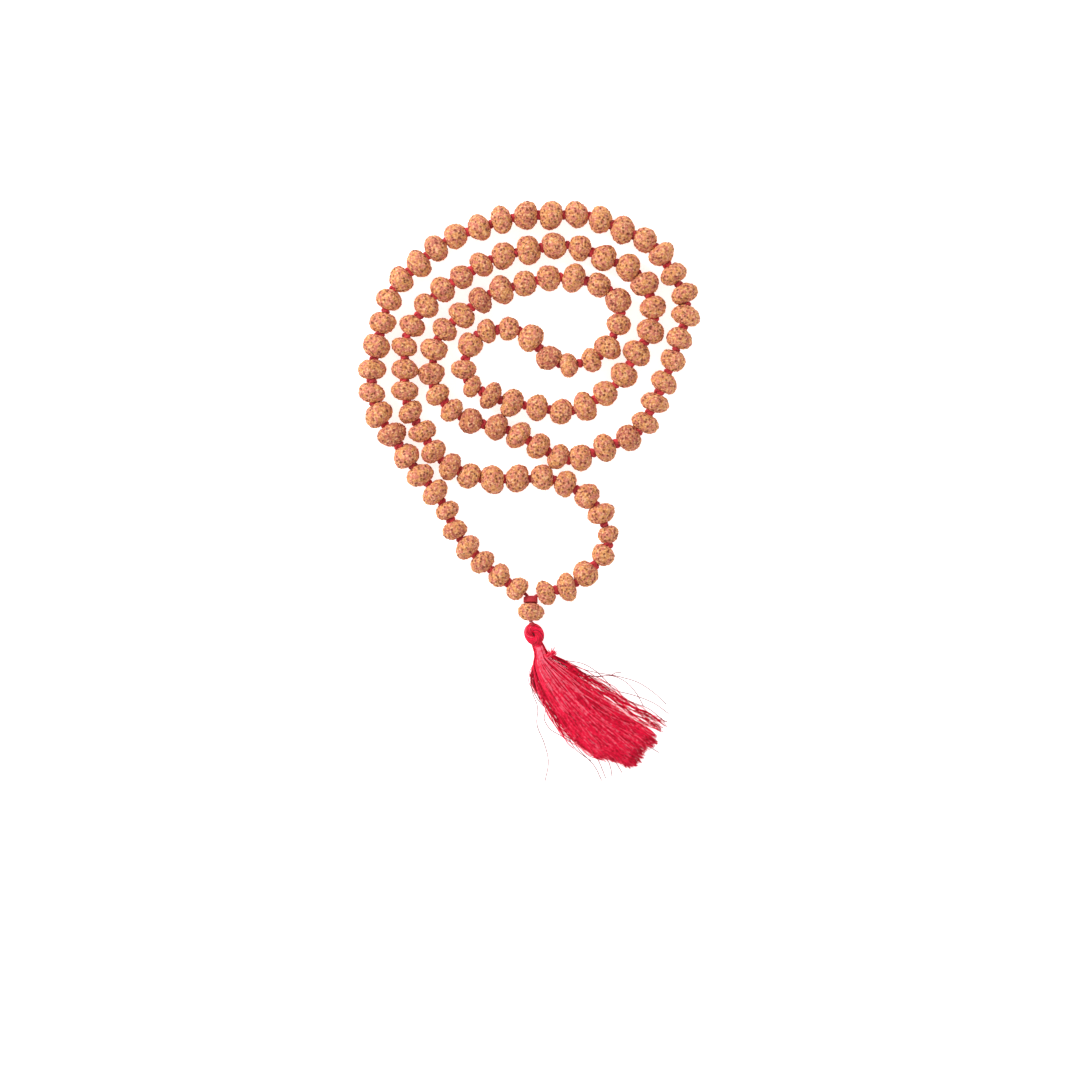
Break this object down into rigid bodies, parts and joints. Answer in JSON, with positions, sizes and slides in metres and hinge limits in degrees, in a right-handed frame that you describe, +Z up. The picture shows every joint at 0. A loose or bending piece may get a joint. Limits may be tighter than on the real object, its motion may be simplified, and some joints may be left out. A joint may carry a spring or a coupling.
{
  "type": "mala prayer beads",
  "caption": "Knotted strand of rough brown rudraksha seeds laid flat in a spiral, with a guru bead and a fanned red silk tassel.",
  "frame": {"origin": "middle of the laid-out strand and tassel, on the surface that it rests on", "axes": "+X to the right of the strand, +Y from the tassel towards the far end of the spiral, +Z up from the table"},
  "size_m": [0.1066, 0.1782, 0.0082],
  "materials": {
    "seed": "dry, deeply pitted natural seed",
    "thread": "twisted cotton thread",
    "silk": "soft sheen of loose silk strands"
  },
  "bodies": {
    "strand": {"thread_spiral": "thread"},
    "band_upper": {"thread_upper_left": "thread", "thread_upper_right": "thread"},
    "band_middle": {"thread_middle_left": "thread", "thread_middle_right": "thread"},
    "loop_end": {"thread_lower_left": "thread", "thread_lower_right": "thread", "gather_knot": "thread", "guru_cord": "thread"},
    "seeds_001_002": {"seeds_001_002": "seed"},
    "seeds_003_004": {"seeds_003_004": "seed"},
    "seeds_005_006": {"seeds_005_006": "seed"},
    "seeds_007_008": {"seeds_007_008": "seed"},
    "seeds_009_011": {"seeds_009_011": "seed"},
    "seeds_012_013": {"seeds_012_013": "seed"},
    "seeds_014_016": {"seeds_014_016": "seed"},
    "seeds_017_019": {"seeds_017_019": "seed"},
    "seeds_020_022": {"seeds_020_022": "seed"},
    "seeds_023_025": {"seeds_023_025": "seed"},
    "seeds_026_028": {"seeds_026_028": "seed"},
    "seeds_029_031": {"seeds_029_031": "seed"},
    "seeds_032_034": {"seeds_032_034": "seed"},
    "seeds_035_037": {"seeds_035_037": "seed"},
    "seeds_038_040": {"seeds_038_040": "seed"},
    "seeds_041_043": {"seeds_041_043": "seed"},
    "seeds_044_045": {"seeds_044_045": "seed"},
    "seeds_046_047": {"seeds_046_047": "seed"},
    "seeds_048_049": {"seeds_048_049": "seed"},
    "seeds_050_052": {"seeds_050_052": "seed"},
    "seeds_053_055": {"seeds_053_055": "seed"},
    "seeds_056_057": {"seeds_056_057": "seed"},
    "seed_058": {"seed_058": "seed"},
    "seeds_059_060": {"seeds_059_060": "seed"},
    "seeds_061_062": {"seeds_061_062": "seed"},
    "seeds_063_064": {"seeds_063_064": "seed"},
    "seeds_065_066": {"seeds_065_066": "seed"},
    "seed_067": {"seed_067": "seed"},
    "seed_068": {"seed_068": "seed"},
    "seeds_069_070": {"seeds_069_070": "seed"},
    "seeds_071_073": {"seeds_071_073": "seed"},
    "seeds_074_075": {"seeds_074_075": "seed"},
    "seeds_076_078": {"seeds_076_078": "seed"},
    "seeds_079_080": {"seeds_079_080": "seed"},
    "seeds_081_083": {"seeds_081_083": "seed"},
    "seeds_084_086": {"seeds_084_086": "seed"},
    "seeds_087_089": {"seeds_087_089": "seed"},
    "seeds_090_091": {"seeds_090_091": "seed"},
    "seeds_092_094": {"seeds_092_094": "seed"},
    "seeds_095_097": {"seeds_095_097": "seed"},
    "seeds_098_099": {"seeds_098_099": "seed"},
    "seeds_100_102": {"seeds_100_102": "seed"},
    "seeds_103_104": {"seeds_103_104": "seed"},
    "seeds_105_106": {"seeds_105_106": "seed"},
    "seeds_107_108": {"seeds_107_108": "seed"},
    "seeds_109_110": {"seeds_109_110": "seed"},
    "guru": {"guru_bead": "seed"},
    "tassel_hitch": {"tassel_knot": "thread"},
    "tassel_top": {"tassel_head": "silk", "tassel_neck": "silk"},
    "tassel_fringe": {"tassel_skirt": "silk"}
  },
  "joints": [
    {"name": "fold_upper", "type": "hinge", "parent": "strand", "child": "band_upper", "pos_m": [-0.00283, -0.00488, 0.0038], "axis": [-0.9999, 0.0103, 0], "range_deg": [0, 40]},
    {"name": "fold_middle", "type": "hinge", "parent": "band_upper", "child": "band_middle", "pos_m": [0.00192, -0.01763, 0.0038], "axis": [-0.9991, 0.0416, 0], "range_deg": [0, 30]},
    {"name": "fold_lower", "type": "hinge", "parent": "band_middle", "child": "loop_end", "pos_m": [0.00142, -0.02838, 0.0038], "axis": [-0.9864, 0.1644, 0], "range_deg": [0, 40]},
    {"name": "guru_turn", "type": "hinge", "parent": "loop_end", "child": "guru", "pos_m": [0.00052, -0.03938, 0.0041], "axis": [0, -1, 0], "continuous": true},
    {"name": "tassel_swing", "type": "hinge", "parent": "loop_end", "child": "tassel_hitch", "pos_m": [0.00082, -0.04308, 0.0041], "axis": [0, 0, 1], "range_deg": [-45, 40]},
    {"name": "tassel_lift", "type": "hinge", "parent": "tassel_hitch", "child": "tassel_top", "pos_m": [0.00082, -0.04308, 0.0041], "axis": [-0.8351, -0.5501, 0], "range_deg": [0, 60]},
    {"name": "skirt_sway", "type": "hinge", "parent": "tassel_top", "child": "tassel_fringe", "pos_m": [0.00427, -0.05383, 0.0027], "axis": [0, 0, 1], "range_deg": [-20, 20]},
    {"name": "turn_seeds_001_002", "type": "hinge", "parent": "loop_end", "child": "seeds_001_002", "pos_m": [-0.00653, -0.03004, 0.0038], "axis": [-0.8177, 0.5757, 0], "continuous": true},
    {"name": "turn_seeds_003_004", "type": "hinge", "parent": "band_middle", "child": "seeds_003_004", "pos_m": [-0.01708, -0.02138, 0.0038], "axis": [-0.725, 0.6887, 0], "continuous": true},
    {"name": "turn_seeds_005_006", "type": "hinge", "parent": "band_upper", "child": "seeds_005_006", "pos_m": [-0.02458, -0.01063, 0.0038], "axis": [-0.3846, 0.9231, 0], "continuous": true},
    {"name": "turn_seeds_007_008", "type": "hinge", "parent": "strand", "child": "seeds_007_008", "pos_m": [-0.03183, 0.00087, 0.0038], "axis": [-0.6536, 0.7568, 0], "continuous": true},
    {"name": "turn_seeds_009_011", "type": "hinge", "parent": "strand", "child": "seeds_009_011", "pos_m": [-0.04308, 0.01612, 0.0038], "axis": [-0.5547, 0.8321, 0], "continuous": true},
    {"name": "turn_seeds_012_013", "type": "hinge", "parent": "strand", "child": "seeds_012_013", "pos_m": [-0.04933, 0.03312, 0.0038], "axis": [0.0345, 0.9994, 0], "continuous": true},
    {"name": "turn_seeds_014_016", "type": "hinge", "parent": "strand", "child": "seeds_014_016", "pos_m": [-0.04608, 0.05137, 0.0038], "axis": [0.2631, 0.9648, 0], "continuous": true},
    {"name": "turn_seeds_017_019", "type": "hinge", "parent": "strand", "child": "seeds_017_019", "pos_m": [-0.03483, 0.06987, 0.0038], "axis": [0.7399, 0.6727, 0], "continuous": true},
    {"name": "turn_seeds_020_022", "type": "hinge", "parent": "strand", "child": "seeds_020_022", "pos_m": [-0.01583, 0.08112, 0.0038], "axis": [0.9442, 0.3294, 0], "continuous": true},
    {"name": "turn_seeds_023_025", "type": "hinge", "parent": "strand", "child": "seeds_023_025", "pos_m": [0.00692, 0.08512, 0.0038], "axis": [0.9998, 0.0208, 0], "continuous": true},
    {"name": "turn_seeds_026_028", "type": "hinge", "parent": "strand", "child": "seeds_026_028", "pos_m": [0.02942, 0.08062, 0.0038], "axis": [0.9111, -0.4122, 0], "continuous": true},
    {"name": "turn_seeds_029_031", "type": "hinge", "parent": "strand", "child": "seeds_029_031", "pos_m": [0.04517, 0.06662, 0.0038], "axis": [0.4936, -0.8697, 0], "continuous": true},
    {"name": "turn_seeds_032_034", "type": "hinge", "parent": "strand", "child": "seeds_032_034", "pos_m": [0.04717, 0.04662, 0.0038], "axis": [-0.2894, -0.9572, 0], "continuous": true},
    {"name": "turn_seeds_035_037", "type": "hinge", "parent": "strand", "child": "seeds_035_037", "pos_m": [0.03942, 0.02637, 0.0038], "axis": [-0.4281, -0.9037, 0], "continuous": true},
    {"name": "turn_seeds_038_040", "type": "hinge", "parent": "strand", "child": "seeds_038_040", "pos_m": [0.02367, 0.01212, 0.0038], "axis": [-0.9212, -0.389, 0], "continuous": true},
    {"name": "turn_seeds_041_043", "type": "hinge", "parent": "strand", "child": "seeds_041_043", "pos_m": [0.00292, 0.01262, 0.0038], "axis": [-0.8752, 0.4837, 0], "continuous": true},
    {"name": "turn_seeds_044_045", "type": "hinge", "parent": "strand", "child": "seeds_044_045", "pos_m": [-0.01433, 0.01962, 0.0038], "axis": [-0.9754, 0.2203, 0], "continuous": true},
    {"name": "turn_seeds_046_047", "type": "hinge", "parent": "strand", "child": "seeds_046_047", "pos_m": [-0.02658, 0.02637, 0.0038], "axis": [-0.669, 0.7433, 0], "continuous": true},
    {"name": "turn_seeds_048_049", "type": "hinge", "parent": "strand", "child": "seeds_048_049", "pos_m": [-0.03033, 0.03912, 0.0038], "axis": [0.0963, 0.9954, 0], "continuous": true},
    {"name": "turn_seeds_050_052", "type": "hinge", "parent": "strand", "child": "seeds_050_052", "pos_m": [-0.02108, 0.05387, 0.0038], "axis": [0.7719, 0.6357, 0], "continuous": true},
    {"name": "turn_seeds_053_055", "type": "hinge", "parent": "strand", "child": "seeds_053_055", "pos_m": [-0.00133, 0.06362, 0.0038], "axis": [0.9714, 0.2375, 0], "continuous": true},
    {"name": "turn_seeds_056_057", "type": "hinge", "parent": "strand", "child": "seeds_056_057", "pos_m": [0.01792, 0.06437, 0.0038], "axis": [0.9701, -0.2425, 0], "continuous": true},
    {"name": "turn_seed_058", "type": "hinge", "parent": "strand", "child": "seed_058", "pos_m": [0.02792, 0.05837, 0.0038], "axis": [0.4472, -0.8944, 0], "continuous": true},
    {"name": "turn_seeds_059_060", "type": "hinge", "parent": "strand", "child": "seeds_059_060", "pos_m": [0.02642, 0.04737, 0.0038], "axis": [-0.4472, -0.8944, 0], "continuous": true},
    {"name": "turn_seeds_061_062", "type": "hinge", "parent": "strand", "child": "seeds_061_062", "pos_m": [0.01592, 0.03887, 0.0038], "axis": [-0.9778, -0.2095, 0], "continuous": true},
    {"name": "turn_seeds_063_064", "type": "hinge", "parent": "strand", "child": "seeds_063_064", "pos_m": [0.00317, 0.04362, 0.0038], "axis": [-0.6771, 0.7359, 0], "continuous": true},
    {"name": "turn_seeds_065_066", "type": "hinge", "parent": "strand", "child": "seeds_065_066", "pos_m": [-0.00983, 0.04912, 0.0038], "axis": [-0.9947, -0.1029, 0], "continuous": true},
    {"name": "turn_seed_067", "type": "hinge", "parent": "strand", "child": "seed_067", "pos_m": [-0.01883, 0.04437, 0.0038], "axis": [-0.4008, -0.9162, 0], "continuous": true},
    {"name": "turn_seed_068", "type": "hinge", "parent": "strand", "child": "seed_068", "pos_m": [-0.02058, 0.03662, 0.0038], "axis": [0, -1, 0], "continuous": true},
    {"name": "turn_seeds_069_070", "type": "hinge", "parent": "strand", "child": "seeds_069_070", "pos_m": [-0.01483, 0.02987, 0.0038], "axis": [0.8866, -0.4626, 0], "continuous": true},
    {"name": "turn_seeds_071_073", "type": "hinge", "parent": "strand", "child": "seeds_071_073", "pos_m": [0.00242, 0.02487, 0.0038], "axis": [0.9852, -0.1713, 0], "continuous": true},
    {"name": "turn_seeds_074_075", "type": "hinge", "parent": "strand", "child": "seeds_074_075", "pos_m": [0.02067, 0.02712, 0.0038], "axis": [0.8462, 0.5328, 0], "continuous": true},
    {"name": "turn_seeds_076_078", "type": "hinge", "parent": "strand", "child": "seeds_076_078", "pos_m": [0.03392, 0.04187, 0.0038], "axis": [0.5264, 0.8503, 0], "continuous": true},
    {"name": "turn_seeds_079_080", "type": "hinge", "parent": "strand", "child": "seeds_079_080", "pos_m": [0.03767, 0.05987, 0.0038], "axis": [-0.3443, 0.9389, 0], "continuous": true},
    {"name": "turn_seeds_081_083", "type": "hinge", "parent": "strand", "child": "seeds_081_083", "pos_m": [0.02342, 0.07187, 0.0038], "axis": [-0.9312, 0.3644, 0], "continuous": true},
    {"name": "turn_seeds_084_086", "type": "hinge", "parent": "strand", "child": "seeds_084_086", "pos_m": [-0.00008, 0.07412, 0.0038], "axis": [-0.9829, -0.1843, 0], "continuous": true},
    {"name": "turn_seeds_087_089", "type": "hinge", "parent": "strand", "child": "seeds_087_089", "pos_m": [-0.02108, 0.06587, 0.0038], "axis": [-0.8321, -0.5547, 0], "continuous": true},
    {"name": "turn_seeds_090_091", "type": "hinge", "parent": "strand", "child": "seeds_090_091", "pos_m": [-0.03458, 0.05362, 0.0038], "axis": [-0.5843, -0.8115, 0], "continuous": true},
    {"name": "turn_seeds_092_094", "type": "hinge", "parent": "strand", "child": "seeds_092_094", "pos_m": [-0.03908, 0.03687, 0.0038], "axis": [0, -1, 0], "continuous": true},
    {"name": "turn_seeds_095_097", "type": "hinge", "parent": "strand", "child": "seeds_095_097", "pos_m": [-0.03358, 0.01712, 0.0038], "axis": [0.5111, -0.8595, 0], "continuous": true},
    {"name": "turn_seeds_098_099", "type": "hinge", "parent": "strand", "child": "seeds_098_099", "pos_m": [-0.02183, 0.00487, 0.0038], "axis": [0.9015, -0.4327, 0], "continuous": true},
    {"name": "turn_seeds_100_102", "type": "hinge", "parent": "strand", "child": "seeds_100_102", "pos_m": [-0.00383, 0.00237, 0.0038], "axis": [0.9991, 0.0425, 0], "continuous": true},
    {"name": "turn_seeds_103_104", "type": "hinge", "parent": "strand", "child": "seeds_103_104", "pos_m": [0.01467, -0.00113, 0.0038], "axis": [0.8603, -0.5098, 0], "continuous": true},
    {"name": "turn_seeds_105_106", "type": "hinge", "parent": "band_upper", "child": "seeds_105_106", "pos_m": [0.02367, -0.01188, 0.0038], "axis": [0.3162, -0.9487, 0], "continuous": true},
    {"name": "turn_seeds_107_108", "type": "hinge", "parent": "band_middle", "child": "seeds_107_108", "pos_m": [0.02042, -0.02463, 0.0038], "axis": [-0.6757, -0.7372, 0], "continuous": true},
    {"name": "turn_seeds_109_110", "type": "hinge", "parent": "loop_end", "child": "seeds_109_110", "pos_m": [0.00848, -0.03254, 0.0038], "axis": [-0.9587, -0.2843, 0], "continuous": true}
  ]
}
